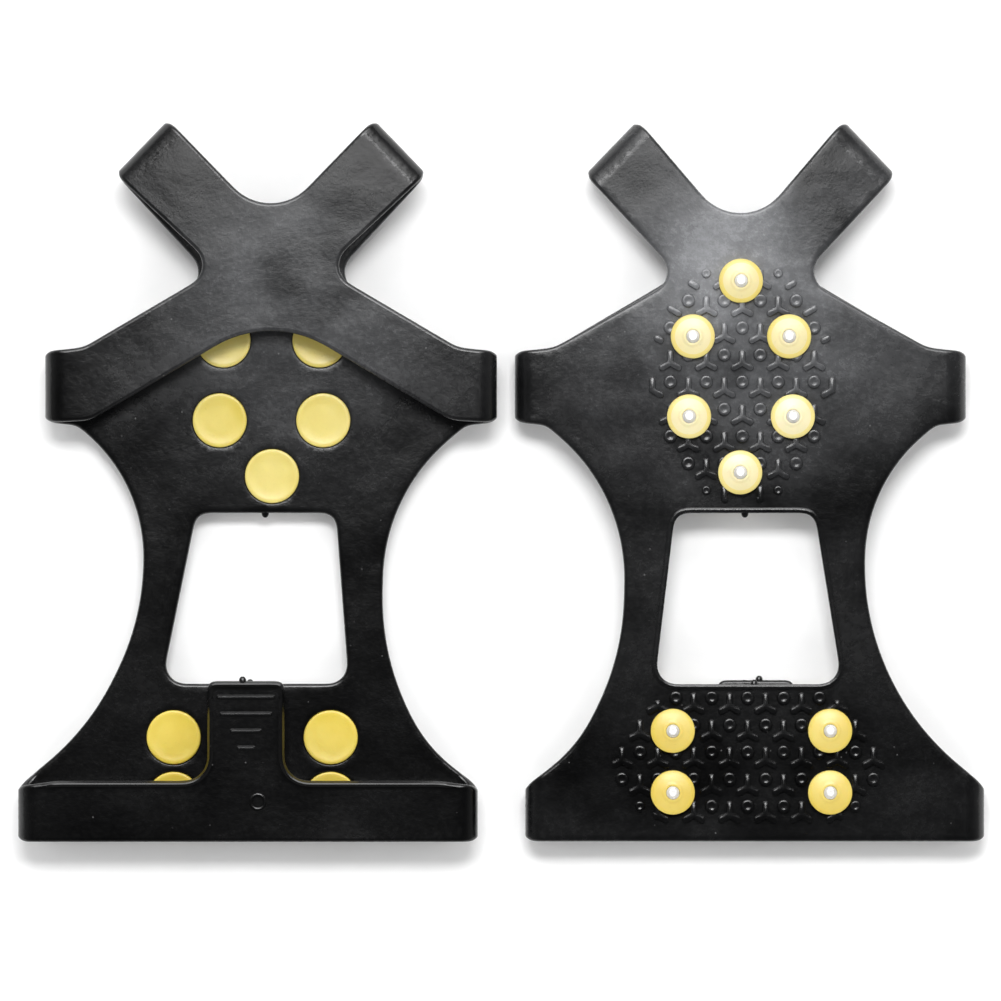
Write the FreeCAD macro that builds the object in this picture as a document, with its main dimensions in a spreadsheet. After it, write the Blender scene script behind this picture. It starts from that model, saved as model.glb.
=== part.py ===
"""A pair of shoe ice cleats: moulded rubber overshoes with studs, lying side by side.

Each cleat is one rubber moulding of two layers. The lower layer is the sole, with its arms, wings, arch
window and tread. The upper layer is the X-shaped instep strap and the heel strap with its pull tab. Small
folds at the ends of the arms join the layers. The rubber is divided where it flexes, so that the straps
can move. Ten plastic plugs with steel pins are pressed through each sole.

A cleat is modelled in its own frame: x across, y towards the toe, z from the stud tips (0) to the straps.
The left cleat stands on its studs. The right one is the same cleat turned over about its long axis, so it
lies on its straps.
"""
import FreeCAD, Part
import math
import os
import Sketcher

Vector = FreeCAD.Vector

SIZES = {
    # heights, from the stud tips up
    "plate_bottom": 4.6,
    "rubber_thick": 2.8,
    "instep_gap": 6.4,
    "heel_gap": 5.6,
    "rib_height": 0.8,
    # toe arms, the same in both layers
    "arm_inner_x": 30.4,
    "arm_inner_y": 108.4,
    "arm_outer_x": 45.95,
    "arm_outer_y": 92.25,
    "sole_vee_y": 72.7,
    "left_strap_vee_y": 77.0,
    "right_strap_vee_y": 72.0,
    "vee_radius": 15.0,
    "sole_notch_x": 17.8,
    "sole_notch_y": 62.0,
    "strap_notch_x": 15.9,
    "strap_notch_y": 64.2,
    "notch_radius": 6.3,
    # forefoot wings
    "wing_reach": 66.7,
    "wing_front_y": 39.8,
    "wing_rear_y": 18.9,
    "wing_knee_x": 55.0,
    "wing_knee_y": 41.2,
    "wing_corner_radius": 2.0,
    "strap_knee_x": 53.0,
    "strap_knee_y": 19.6,
    "wing_knee_radius": 8.0,
    "strap_knee_radius": 9.0,
    "strap_apex_y": 51.2,
    "strap_apex_radius": 32.0,
    # waist: a corner of the polygon behind each large arc
    "waist_knee_x": 57.6,
    "waist_knee_y": 18.3,
    "waist_knee_radius": 5.0,
    "waist_right_x": 33.65,
    "waist_right_front_y": -2.2,
    "waist_right_front_radius": 55.0,
    "waist_right_middle_y": -49.9,
    "waist_right_middle_radius": 76.0,
    "waist_right_rear_x": 47.25,
    "waist_right_rear_y": -77.1,
    "waist_right_rear_radius": 45.0,
    "waist_left_x": 37.3,
    "waist_left_front_y": 0.7,
    "waist_left_front_radius": 48.0,
    "waist_left_middle_y": -39.1,
    "waist_left_middle_radius": 75.0,
    "waist_left_rear_x": 52.3,
    "waist_left_rear_y": -70.8,
    "waist_left_rear_radius": 76.0,
    # heel
    "heel_left": 73.4,
    "heel_right": 62.3,
    "heel_wing_y": -88.4,
    "heel_rear_y": -104.6,
    "heel_corner_radius": 3.0,
    "band_front_y": -86.6,
    "band_slope_run": 11.0,
    "band_bend_radius": 20.0,
    "tab_centre_x": -6.0,
    "tab_width": 22.7,
    "tab_end_y": -57.2,
    "tab_root_radius": 7.0,
    "tab_corner_radius": 1.5,
    "ridge_width": 1.0,
    "mark_x": -2.5,
    "mark_y": -92.8,
    "mark_radius": 2.6,
    "mark_bore": 1.6,
    "mark_height": 0.4,
    # arch window
    "window_front_y": -7.7,
    "window_rear_y": -58.2,
    "window_front_left": -22.0,
    "window_front_right": 19.2,
    "window_rear_left": -31.2,
    "window_rear_right": 24.1,
    "window_front_radius": 4.0,
    "window_rear_radius": 5.5,
    "rim_width": 1.4,
    "rim_height": 0.5,
    # plate edges
    "edge_radius": 1.0,
    "seam_clearance": 0.1,
    # tread
    "lug_height": 1.3,
    "bump_radius": 1.9,
    "lug_pitch": 10.6,
    "lug_row": 8.0,
    "star_offset": 2.4,
    "star_arm": 3.6,
    "star_width": 1.45,
    # studs
    "disc_radius": 8.0,
    "disc_thick": 1.2,
    "disc_proud": 0.4,
    "disc_bevel": 0.3,
    "recess_depth": 0.8,
    "recess_radius": 8.1,
    "neck_radius": 3.5,
    "flange_radius": 6.5,
    "flange_face_radius": 5.4,
    "flange_bottom": 1.7,
    "flange_cone_radius": 6.3,
    "flange_cone_height": 0.9,
    "flange_wall_height": 1.4,
    "flange_clearance": 0.1,
    "boss_radius": 2.6,
    "boss_foot_radius": 3.2,
    "boss_height": 0.4,
    "pin_radius": 1.9,
    "pin_tip_radius": 1.1,
    "pin_tip_height": 0.9,
    "pin_head_radius": 2.7,
    "pin_head_bottom": 5.0,
    "pin_head_top": 5.9,
    # the pair
    "cleat_gap": 5.2,
    # flex of the rubber: how far each heel lies to the left, how far back the left cleat's studs lie,
    # and where the waist starts to bend
    "heel_flex": 1.3,
    "left_forefoot_setback": 1.1,
    "left_heel_setback": 2.1,
    "flex_start_y": 10.0,
    "flex_length": 70.0,
}

STUDS = [
    (0.0, 60.8), (-14.2, 44.4), (14.2, 44.4), (-15.3, 20.8), (15.3, 20.8), (0.2, 4.3),
    (-27.6, -71.9), (18.8, -71.9), (-27.6, -90.1), (18.8, -90.1),
]
# a tread field: lattice origin, rows in front of it, rows behind it, and its ellipse's centre and half axes
FOREFOOT_TREAD = {"origin": (-0.4, 31.0), "front": 5, "rear": 5, "centre": (-0.4, 31.0), "half": (27.0, 35.5)}
HEEL_TREAD = {"origin": (-3.3, -62.5), "front": 0, "rear": 4, "centre": (-3.5, -81.0), "half": (40.4, 23.6)}
RIDGES = [(-62.0, 17.0), (-67.0, 15.3), (-72.0, 9.2), (-77.0, 5.3)]

doc = FreeCAD.newDocument("ice_cleats")
sheet = doc.addObject("Spreadsheet::Sheet", "Sizes")
for row, (alias, value) in enumerate(SIZES.items(), 1):
    sheet.set(f"A{row}", alias)
    sheet.set(f"B{row}", str(value))
    sheet.setAlias(f"B{row}", alias)
doc.recompute()


def size(alias):
    return float(sheet.get(alias))


PLATE_TOP = "Sizes.plate_bottom + Sizes.rubber_thick"
BAND_TOP = PLATE_TOP + " + Sizes.heel_gap + Sizes.rubber_thick"
HALF_INSTEP_FOLD = "Sizes.rubber_thick + Sizes.instep_gap / 2"
HALF_HEEL_FOLD = "Sizes.rubber_thick + Sizes.heel_gap / 2"
INSTEP_FOLD = size("rubber_thick") + size("instep_gap") / 2
HEEL_FOLD = size("rubber_thick") + size("heel_gap") / 2


# ---------------------------------------------------------------- plan outlines
def rounded(corners):
    """Lines and tangent arcs of a closed outline, from its corners (x, y, radius)."""
    count = len(corners)
    points = [Vector(x, y, 0) for x, y, _ in corners]
    joins = []
    for i, (_, _, radius) in enumerate(corners):
        before = (points[i - 1] - points[i]).normalize()
        after = (points[(i + 1) % count] - points[i]).normalize()
        turn = math.pi - before.getAngle(after)
        reach = radius * math.tan(turn / 2)
        joins.append((points[i] + before * reach, points[i] + after * reach, radius))
    edges = []
    for i, (start, end, radius) in enumerate(joins):
        run = (points[(i + 1) % count] - points[i]).Length
        used = (end - points[i]).Length + (joins[(i + 1) % count][0] - points[(i + 1) % count]).Length
        if used > run + 1e-6:
            raise ValueError(f"the arcs at corners {i} and {i + 1} overlap: {used:.2f} of {run:.2f}")
        if radius > 0:
            apex = points[i]
            bisector = ((start + end) * 0.5 - apex).normalize()
            centre = apex + bisector * math.hypot(radius, (start - apex).Length)
            edges.append(Part.Arc(start, centre - bisector * radius, end))
        leave, arrive = end, joins[(i + 1) % count][0]
        if (arrive - leave).Length > 1e-6:
            edges.append(Part.LineSegment(leave, arrive))
    return edges


def flexed(bend, x, y):
    """A plan point of a cleat whose waist is bent sideways. bend is 1 or -1 for a heel moved to +x or -x."""
    share = min(max((size("flex_start_y") - y) / size("flex_length"), 0.0), 1.0)
    return (x + bend * size("heel_flex") * share * share * (3 - 2 * share), y)


def flexed_corners(bend, corners):
    return [(*flexed(bend, x, y), radius) for x, y, radius in corners]


def depth_point(corner, along, outward, depth):
    """The point on the line from an arm's end corner towards `along` that lies `depth` inside the end."""
    corner, along = Vector(*corner, 0), Vector(*along, 0)
    way = (along - corner).normalize()
    point = corner + way * (depth / -way.dot(outward))
    return (point.x, point.y)


def arm_axis():
    """The unit vector along the right toe arm, square to its end."""
    end = Vector(size("arm_outer_x") - size("arm_inner_x"), size("arm_outer_y") - size("arm_inner_y"), 0)
    return Vector(-end.y, end.x, 0).normalize()


def toe_arm_end(layer, vee_y, setback=0.0):
    """A layer's right toe arm: its end corners, and the points on its edges where the fold begins.

    A setback moves those points short of the fold.
    """
    inner = (size("arm_inner_x"), size("arm_inner_y"))
    outer = (size("arm_outer_x"), size("arm_outer_y"))
    seam_inner = depth_point(inner, (0, vee_y), arm_axis(), INSTEP_FOLD + setback)
    notch = (size(layer + "_notch_x"), size(layer + "_notch_y"))
    seam_outer = depth_point(outer, notch, arm_axis(), INSTEP_FOLD + setback)
    return inner, outer, seam_inner, seam_outer


def wing_end(layer, setback=0.0):
    """A layer's right wing: its end corners, and the points on its edges where the fold begins."""
    depth = INSTEP_FOLD + setback
    front_knee = (size("wing_knee_x"), size("wing_knee_y"))
    name = "waist" if layer == "sole" else "strap"
    rear_knee = (size(name + "_knee_x"), size(name + "_knee_y"))
    front = (size("wing_reach"), size("wing_front_y"))
    rear = (size("wing_reach"), size("wing_rear_y"))
    seam_front = depth_point(front, front_knee, Vector(1, 0, 0), depth)
    seam_rear = depth_point(rear, rear_knee, Vector(1, 0, 0), depth)
    return front, rear, seam_front, seam_rear


def mirrored(corners):
    """Corners for the left half, from the right half's, in the order that closes the outline."""
    return [(-x, y, radius) for x, y, radius in reversed(corners)]


def front_half(layer, vee_y, setback=0.0):
    """Right half of a layer in front of the wing's rear edge, without its folds."""
    _, _, seam_inner, seam_outer = toe_arm_end(layer, vee_y, setback)
    _, _, seam_front, seam_rear = wing_end(layer, setback)
    return [
        (*seam_rear, 0),
        (*seam_front, 0),
        (size("wing_knee_x"), size("wing_knee_y"), size("wing_knee_radius")),
        (size(layer + "_notch_x"), size(layer + "_notch_y"), size("notch_radius")),
        (*seam_outer, 0),
        (*seam_inner, 0),
    ]


def heel_edge(side, setback=0.0):
    """Where a heel fold begins: its x, and the y of the sole's front edge there. side is 1 on the right."""
    name = "right" if side > 0 else "left"
    reach = size("heel_" + name)
    slope = (size("heel_wing_y") - size(f"waist_{name}_rear_y")) / (reach - size(f"waist_{name}_rear_x"))
    depth = HEEL_FOLD + setback
    return side * (reach - depth), size("heel_wing_y") - slope * depth


def waist(name, side):
    """Corners of one side of the sole behind the wing, from front to rear."""
    x, rear_x = side * size(f"waist_{name}_x"), side * size(f"waist_{name}_rear_x")
    return [
        (side * size("waist_knee_x"), size("waist_knee_y"), size("waist_knee_radius")),
        (x, size(f"waist_{name}_front_y"), size(f"waist_{name}_front_radius")),
        (x, size(f"waist_{name}_middle_y"), size(f"waist_{name}_middle_radius")),
        (rear_x, size(f"waist_{name}_rear_y"), size(f"waist_{name}_rear_radius")),
        (*heel_edge(side, size("seam_clearance")), 0),
    ]


def sole_outline(bend):
    """The sole, up to the seams at its six arm and wing ends."""
    rear = size("heel_rear_y")
    setback = size("seam_clearance")
    right = front_half("sole", size("sole_vee_y"), setback)
    heel_left, heel_right = heel_edge(-1, setback)[0], heel_edge(1, setback)[0]
    back = [(heel_left, rear, 0), (heel_right, rear, 0)]
    vee = [(0, size("sole_vee_y"), size("vee_radius"))]
    waist_right = list(reversed(waist("right", 1)))
    corners = waist("left", -1) + back + waist_right + right + vee + mirrored(right)
    return flexed_corners(bend, corners)


def window_outline(bend, grow=0.0):
    """The arch window, or a larger outline round it."""
    front, rear = size("window_front_y") + grow, size("window_rear_y") - grow
    front_radius, rear_radius = size("window_front_radius") + grow, size("window_rear_radius") + grow
    return flexed_corners(bend, [
        (size("window_rear_left") - grow, rear, rear_radius),
        (size("window_rear_right") + grow, rear, rear_radius),
        (size("window_front_right") + grow, front, front_radius),
        (size("window_front_left") - grow, front, front_radius),
    ])


def instep_outline(vee_y):
    """The X: the wings' rear edges run to an apex behind the crossing."""
    knee = (size("strap_knee_x"), size("strap_knee_y"), size("strap_knee_radius"))
    right = [knee] + front_half("strap", vee_y)
    vee = [(0, vee_y, size("vee_radius"))]
    apex = [(0, size("strap_apex_y"), size("strap_apex_radius"))]
    return apex + right + vee + mirrored(right)


def heel_outline():
    """Band and pull tab, between the two folds."""
    front, rear = size("band_front_y"), size("heel_rear_y")
    left, right = heel_edge(-1)[0], heel_edge(1)[0]
    run = size("band_slope_run")
    fold_y = front - (front - size("heel_wing_y")) * (run - HEEL_FOLD) / run
    tab_left = size("tab_centre_x") - size("tab_width") / 2
    tab_right = size("tab_centre_x") + size("tab_width") / 2
    root, corner = size("tab_root_radius"), size("tab_corner_radius")
    bend = size("band_bend_radius")
    return [
        (left, rear, 0), (right, rear, 0), (right, fold_y, 0),
        (size("heel_right") - run, front, bend),
        (tab_right, front, root), (tab_right, size("tab_end_y"), corner),
        (tab_left, size("tab_end_y"), corner), (tab_left, front, root),
        (run - size("heel_left"), front, bend),
        (left, fold_y, 0),
    ]


# ---------------------------------------------------------------- document helpers
def add_geometry(sketch, curves):
    """Add curves to a sketch and fix each in place."""
    first = sketch.GeometryCount
    for curve in curves:
        sketch.addGeometry(curve, False)
    for index in range(first, sketch.GeometryCount):
        sketch.addConstraint(Sketcher.Constraint("Block", index))


def plane(body, role):
    return next(f for f in body.Origin.OriginFeatures if f.Role == role)


def body_sketch(body, name, height):
    """A sketch parallel to a body's XY plane, at a height given as an expression."""
    sketch = body.newObject("Sketcher::SketchObject", name)
    sketch.AttachmentSupport = [(plane(body, "XY_Plane"), "")]
    sketch.MapMode = "FlatFace"
    sketch.setExpression("AttachmentOffset.Base.z", height)
    return sketch


def sketch_feature(body, kind, name, sketch, length, reversed_way=False):
    """A Pad or Pocket of a sketch, with its length given as an expression."""
    feature = body.newObject("PartDesign::" + kind, name)
    feature.Profile = sketch
    feature.setExpression("Length", length)
    feature.Reversed = reversed_way
    sketch.Visibility = False
    return feature


def circles(places, radius):
    return [Part.Circle(Vector(x, y, 0), Vector(0, 0, 1), radius) for x, y in places]


def prism(name, outlines, bottom, length):
    """A vertical prism of closed outlines. bottom and length are expressions."""
    sketch = doc.addObject("Sketcher::SketchObject", name + "_plan")
    for outline in outlines:
        add_geometry(sketch, rounded(outline))
    sketch.setExpression("Placement.Base.z", bottom)
    solid = doc.addObject("Part::Extrusion", name)
    solid.Base = sketch
    solid.DirMode = "Custom"
    solid.Dir = Vector(0, 0, 1)
    solid.Solid = True
    solid.setExpression("LengthFwd", length)
    return solid


def boolean(kind, name, base, tool):
    result = doc.addObject("Part::" + kind, name)
    result.Base = base
    result.Tool = tool
    return result


def fuse(name, shapes):
    result = doc.addObject("Part::MultiFuse", name)
    result.Shapes = shapes
    result.Refine = True
    return result


def cylinder(name, radius, span, base, axis, height):
    """A cylinder of length span from base along axis. radius and height are expressions."""
    solid = doc.addObject("Part::Cylinder", name)
    solid.setExpression("Radius", radius)
    solid.Height = span
    solid.Placement = FreeCAD.Placement(base, FreeCAD.Rotation(Vector(0, 0, 1), axis))
    solid.setExpression("Placement.Base.z", height)
    return solid


def fold(name, caps, gap, centre_line):
    """Half a ring of rubber that joins the layers at an arm's end.

    caps are the arm's plans between the seam and its end, lower and upper, each (outline, height, length).
    centre_line is the fold's axis in plan, as two points.
    """
    start, end = (Vector(*point, 0) for point in centre_line)
    axis = (end - start).normalize()
    spare = size("wing_reach") - size("wing_knee_x")
    span = (end - start).Length + 2 * spare
    base = start - axis * spare
    middle = f"{PLATE_TOP} + Sizes.{gap} / 2"
    outer = cylinder(name + "_outer", f"Sizes.{gap} / 2 + Sizes.rubber_thick", span, base, axis, middle)
    inner = cylinder(name + "_inner", f"Sizes.{gap} / 2", span, base, axis, middle)
    ring = boolean("Cut", name + "_ring", outer, inner)
    ends = [prism(f"{name}_cap{i}", [plan], bottom, length) for i, (plan, bottom, length) in enumerate(caps)]
    return boolean("Common", name, ring, fuse(name + "_caps", ends))


def halves(lower, upper, half):
    """The two plans of a fold's caps, one over the other, each half the fold's height."""
    return [(lower, "Sizes.plate_bottom", half), (upper, "Sizes.plate_bottom + " + half, half)]


# ---------------------------------------------------------------- rubber
def inside(field, x, y):
    (cx, cy), (rx, ry) = field["centre"], field["half"]
    return ((x - cx) / rx) ** 2 + ((y - cy) / ry) ** 2 <= 1


def tread_field(field, bend):
    """A tread field moved with its end of the bent cleat."""
    return {**field, "origin": flexed(bend, *field["origin"]), "centre": flexed(bend, *field["centre"])}


def tread_places(field):
    """Centres of a tread field's round bumps and of its three-armed lugs, in staggered rows."""
    pitch, spacing = size("lug_pitch"), size("lug_row")
    bumps, stars = [], []
    for row in range(-field["rear"], field["front"] + 1):
        y = field["origin"][1] + row * spacing
        shift = pitch / 2 if row % 2 else 0.0
        for column in range(-5, 6):
            x = field["origin"][0] + column * pitch + shift
            bumps.append((x, y))
            stars.append((x + pitch / 2, y - size("star_offset")))
    return [p for p in bumps if inside(field, *p)], stars


def lug_arm(centre, angle):
    """Plan of one arm of a three-armed lug: a bar with a round outer end."""
    half = size("star_width") / 2
    along = Vector(math.cos(angle), math.sin(angle), 0)
    side = Vector(-along.y, along.x, 0) * half
    start = Vector(*centre, 0)
    end = start + along * (size("star_arm") - half)
    return [
        Part.LineSegment(start - side, end - side),
        Part.Arc(end - side, end + along * half, end + side),
        Part.LineSegment(end + side, start + side),
        Part.LineSegment(start + side, start - side),
    ]


def add_tread(body, bend):
    """Round bumps and three-armed lugs under the forefoot and the heel, cut away round each stud."""
    moved = [tread_field(field, bend) for field in (FOREFOOT_TREAD, HEEL_TREAD)]
    fields = [(field, *tread_places(field)) for field in moved]
    bumps = body_sketch(body, "bump_plan", "Sizes.plate_bottom")
    add_geometry(bumps, circles([p for _, places, _ in fields for p in places], size("bump_radius")))
    sketch_feature(body, "Pad", "bumps", bumps, "Sizes.lug_height", True)
    for index, degrees in enumerate((90, 210, 330)):
        angle = math.radians(degrees)
        tip = Vector(math.cos(angle), math.sin(angle), 0) * size("star_arm")
        plan = body_sketch(body, f"star_plan_{index}", "Sizes.plate_bottom")
        for field, _, stars in fields:
            for x, y in stars:
                if inside(field, x + tip.x, y + tip.y) and inside(field, x, y):
                    add_geometry(plan, lug_arm((x, y), angle))
        sketch_feature(body, "Pad", f"star_arms_{index}", plan, "Sizes.lug_height", True)
    clear = body_sketch(body, "flange_clearance_plan", "Sizes.plate_bottom")
    add_geometry(clear, circles(stud_places(bend), size("flange_radius") + size("flange_clearance")))
    sketch_feature(body, "Pocket", "flange_clearance", clear, "Sizes.lug_height")


def stud_places(bend):
    """Plan centres of a bent cleat's studs. bend is -1 for the left cleat and 1 for the right one."""
    if bend > 0:
        return [flexed(bend, x, y) for x, y in STUDS]
    return [flexed(bend, x, y - size("left_heel_setback" if y < 0 else "left_forefoot_setback"))
            for x, y in STUDS]


def make_sole(label, bend):
    body = doc.addObject("PartDesign::Body", label)
    plan = body_sketch(body, "sole_plan", "Sizes.plate_bottom")
    add_geometry(plan, rounded(sole_outline(bend)))
    add_geometry(plan, rounded(window_outline(bend)))
    plate = sketch_feature(body, "Pad", "plate", plan, "Sizes.rubber_thick")
    doc.recompute()
    round_edges(body, plate, bend)
    rim = body_sketch(body, "rim_plan", "Sizes.plate_bottom + Sizes.edge_radius")
    add_geometry(rim, rounded(window_outline(bend)))
    add_geometry(rim, rounded(window_outline(bend, size("rim_width"))))
    sketch_feature(body, "Pad", "window_rim", rim, "Sizes.rim_height + Sizes.edge_radius", True)
    add_tread(body, bend)
    recess = body_sketch(body, "recess_plan", PLATE_TOP)
    add_geometry(recess, circles(stud_places(bend), size("recess_radius")))
    sketch_feature(body, "Pocket", "disc_recesses", recess, "Sizes.recess_depth")
    holes = body_sketch(body, "hole_plan", PLATE_TOP)
    add_geometry(holes, circles(stud_places(bend), size("neck_radius")))
    sketch_feature(body, "Pocket", "stud_holes", holes, "Sizes.rubber_thick")
    return body


def round_edges(body, plate, bend):
    """Round the plate's top and bottom edges, except where the folds join on."""
    levels = (size("plate_bottom"), size("plate_bottom") + size("rubber_thick"))
    arm = arm_axis()
    setback = size("seam_clearance")
    arm_seam = Vector(size("arm_inner_x"), size("arm_inner_y"), 0).dot(arm) - INSTEP_FOLD - setback
    wing_seam = size("wing_reach") - INSTEP_FOLD - setback
    heel_seams = [heel_edge(side, setback)[0] + bend * size("heel_flex") for side in (-1, 1)]
    names = []
    for index, edge in enumerate(plate.Shape.Edges, 1):
        ends = [vertex.Point for vertex in edge.Vertexes]
        flat = all(any(abs(p.z - level) < 1e-4 for level in levels) for p in ends)
        if not flat or abs(ends[0].z - ends[-1].z) > 1e-4:
            continue
        on_seam = all(abs(abs(p.x) - wing_seam) < 1e-3 for p in ends)
        on_seam |= all(abs(Vector(abs(p.x), p.y, 0).dot(arm) - arm_seam) < 1e-3 for p in ends)
        on_seam |= all(p.x < heel_seams[0] + 1e-3 for p in ends)
        on_seam |= all(p.x > heel_seams[1] - 1e-3 and p.y < 0 for p in ends)
        if not on_seam:
            names.append(f"Edge{index}")
    rounding = body.newObject("PartDesign::Fillet", "plate_edges")
    rounding.Base = (plate, names)
    rounding.setExpression("Radius", "Sizes.edge_radius")


def make_instep_strap(label, vee_y):
    """The X over the instep and toes, with the four folds that join it to the sole."""
    bottom = PLATE_TOP + " + Sizes.instep_gap"
    pieces = [prism(label + "_sheet", [instep_outline(vee_y)], bottom, "Sizes.rubber_thick")]
    radius = size("wing_corner_radius")
    arms = {
        "toe": (toe_arm_end("sole", size("sole_vee_y")), toe_arm_end("strap", vee_y)),
        "wing": (wing_end("sole"), wing_end("strap")),
    }
    for side, name in ((1, "right"), (-1, "left")):
        for kind, layers in arms.items():
            plans = []
            for layer in layers:
                first, second, seam_first, seam_second = ((side * x, y) for x, y in layer)
                plans.append([(*seam_first, 0), (*first, radius), (*second, radius), (*seam_second, 0)])
            lower, upper = plans
            caps = halves(lower, upper, HALF_INSTEP_FOLD)
            centre_line = (lower[0][:2], lower[-1][:2])
            pieces.append(fold(f"{label}_{kind}_fold_{name}", caps, "instep_gap", centre_line))
    return fuse(label, pieces)


def make_heel_strap(label):
    """The heel band and its pull tab, with a fold at each end of the band and ridges on the tab."""
    bottom = PLATE_TOP + " + Sizes.heel_gap"
    pieces = [prism(label + "_sheet", [heel_outline()], bottom, "Sizes.rubber_thick")]
    rear, wing = size("heel_rear_y"), size("heel_wing_y")
    radius = size("heel_corner_radius")
    band_y = heel_outline()[2][1]
    for side, name in ((1, "right"), (-1, "left")):
        seam_x, sole_y = heel_edge(side)
        reach = side * size("heel_" + name)
        back = [(seam_x, rear, 0), (reach, rear, radius)]
        lower = back + [(reach, wing, radius), (seam_x, sole_y, 0)]
        upper = back + [(reach, wing, radius), (seam_x, band_y, 0)]
        caps = halves(lower, upper, HALF_HEEL_FOLD)
        pieces.append(fold(f"{label}_fold_{name}", caps, "heel_gap", ((seam_x, rear), (seam_x, sole_y))))
    for index, (y, width) in enumerate(RIDGES, 1):
        ridge = doc.addObject("Part::Box", f"{label}_ridge_{index}")
        ridge.Length = width
        ridge.setExpression("Width", "Sizes.ridge_width")
        ridge.setExpression("Height", "2 * Sizes.rib_height")
        ridge.Placement.Base = Vector(size("tab_centre_x") - width / 2, y - size("ridge_width") / 2, 0)
        ridge.setExpression("Placement.Base.z", BAND_TOP + " - Sizes.rib_height")
        pieces.append(ridge)
    mark, up = Vector(size("mark_x"), size("mark_y"), 0), Vector(0, 0, 1)
    tall = 2 * size("mark_height")
    root = BAND_TOP + " - Sizes.mark_height"
    outer = cylinder(label + "_mark_outer", "Sizes.mark_radius", tall, mark, up, root)
    inner = cylinder(label + "_mark_inner", "Sizes.mark_bore", tall, mark, up, BAND_TOP)
    pieces.append(boolean("Cut", label + "_mark", outer, inner))
    return fuse(label, pieces)


# ---------------------------------------------------------------- studs
def turned_body(label, profile):
    """A body turned about its z axis from (radius, height) corners, each an expression or 0 on the axis."""
    body = doc.addObject("PartDesign::Body", label)
    sketch = body.newObject("Sketcher::SketchObject", "profile")
    sketch.AttachmentSupport = [(plane(body, "XZ_Plane"), "")]
    sketch.MapMode = "FlatFace"
    values = [tuple(float(sheet.evalExpression(str(term))) for term in corner) for corner in profile]
    points = [Vector(radius, height, 0) for radius, height in values]
    count = len(points)
    for index in range(count):
        sketch.addGeometry(Part.LineSegment(points[index], points[(index + 1) % count]), False)
    for index in range(count):
        sketch.addConstraint(Sketcher.Constraint("Coincident", (index - 1) % count, 2, index, 1))
    for index, (corner, value) in enumerate(zip(profile, values)):
        for kind, axis, term, number in zip(("DistanceX", "DistanceY"), (-2, -1), corner, value):
            if number == 0:
                sketch.addConstraint(Sketcher.Constraint("PointOnObject", index, 1, axis))
            else:
                made = sketch.addConstraint(Sketcher.Constraint(kind, -1, 1, index, 1, number))
                sketch.setExpression(f"Constraints[{made}]", str(term))
    turned = body.newObject("PartDesign::Revolution", "turned")
    turned.Profile = sketch
    turned.ReferenceAxis = (sketch, ["V_Axis"])
    turned.Angle = 360
    sketch.Visibility = False
    return body


def make_plug(label):
    """Plastic plug: a disc on the foot side, a neck through the rubber and a flange on the tread side."""
    bed, plate = "Sizes.pin_head_top", "Sizes.plate_bottom"
    disc_top = PLATE_TOP + " + Sizes.disc_proud"
    disc_bottom = disc_top + " - Sizes.disc_thick"
    face = "Sizes.flange_bottom"
    boss = face + " - Sizes.boss_height"
    return turned_body(label, [
        (0, disc_top), (0, bed), ("Sizes.pin_head_radius", bed),
        ("Sizes.pin_head_radius", "Sizes.pin_head_bottom"), ("Sizes.pin_radius", "Sizes.pin_head_bottom"),
        ("Sizes.pin_radius", boss), ("Sizes.boss_radius", boss), ("Sizes.boss_foot_radius", face),
        ("Sizes.flange_face_radius", face),
        ("Sizes.flange_cone_radius", face + " + Sizes.flange_cone_height"),
        ("Sizes.flange_radius", face + " + Sizes.flange_wall_height"), ("Sizes.flange_radius", plate),
        ("Sizes.neck_radius", plate), ("Sizes.neck_radius", disc_bottom), ("Sizes.disc_radius", disc_bottom),
        ("Sizes.disc_radius", disc_top + " - Sizes.disc_bevel"),
        ("Sizes.disc_radius - Sizes.disc_bevel", disc_top),
    ])


def make_pin(label):
    """Steel pin with a head inside the plug and a blunt tip."""
    return turned_body(label, [
        (0, 0), ("Sizes.pin_tip_radius", 0), ("Sizes.pin_radius", "Sizes.pin_tip_height"),
        ("Sizes.pin_radius", "Sizes.pin_head_bottom"), ("Sizes.pin_head_radius", "Sizes.pin_head_bottom"),
        ("Sizes.pin_head_radius", "Sizes.pin_head_top"), (0, "Sizes.pin_head_top"),
    ])


# ---------------------------------------------------------------- assembly
def make_cleat(side):
    """All of one cleat's sub-parts in the cleat's own frame, each with where it stands in that frame."""
    bend = -1 if side == "left" else 1
    pieces = [
        (make_sole(side + "_sole", bend), Vector()),
        (make_instep_strap(side + "_instep_strap", size(side + "_strap_vee_y")), Vector()),
        (make_heel_strap(side + "_heel_strap"), Vector(bend * size("heel_flex"), 0, 0)),
    ]
    for index, (x, y) in enumerate(stud_places(bend), 1):
        pieces.append((make_plug(f"{side}_stud_plug_{index}"), Vector(x, y, 0)))
        pieces.append((make_pin(f"{side}_stud_pin_{index}"), Vector(x, y, 0)))
    return pieces


def check_document():
    for item in doc.Objects:
        state = set(item.State) & {"Invalid", "Error"}
        if state:
            raise RuntimeError(f"{item.Label}: {state}")


cleats = {side: make_cleat(side) for side in ("left", "right")}
doc.recompute()
check_document()

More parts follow.
